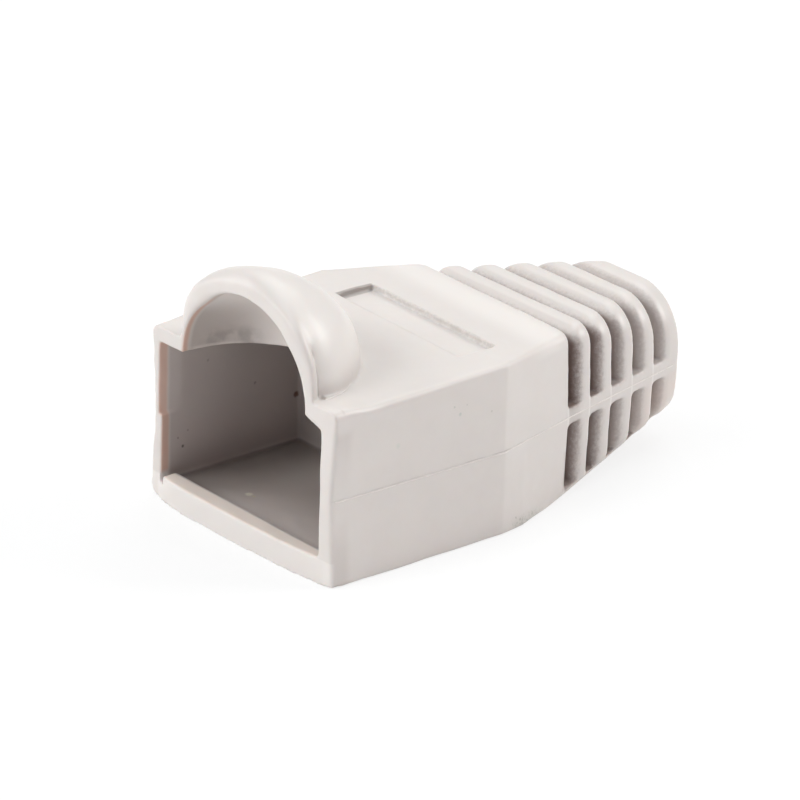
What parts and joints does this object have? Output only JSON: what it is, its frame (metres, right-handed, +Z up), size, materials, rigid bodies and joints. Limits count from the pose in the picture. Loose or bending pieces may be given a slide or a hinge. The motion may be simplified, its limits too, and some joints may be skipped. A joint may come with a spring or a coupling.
{
  "type": "rj45 strain relief boot",
  "caption": "Soft one-piece boot for a modular plug, with a box that covers the plug, a domed latch hood and a ribbed tail round the cable.",
  "frame": {"origin": "centre of the boot's plan at the flat underside", "axes": "+Y along the boot from the plug's mouth to the cable end, +Z up towards the latch hood, +X to the right seen from the mouth"},
  "size_m": [0.0142, 0.0254, 0.0137],
  "materials": {
    "boot": "satin soft PVC"
  },
  "bodies": {
    "root": {"boot": "boot"}
  },
  "joints": []
}
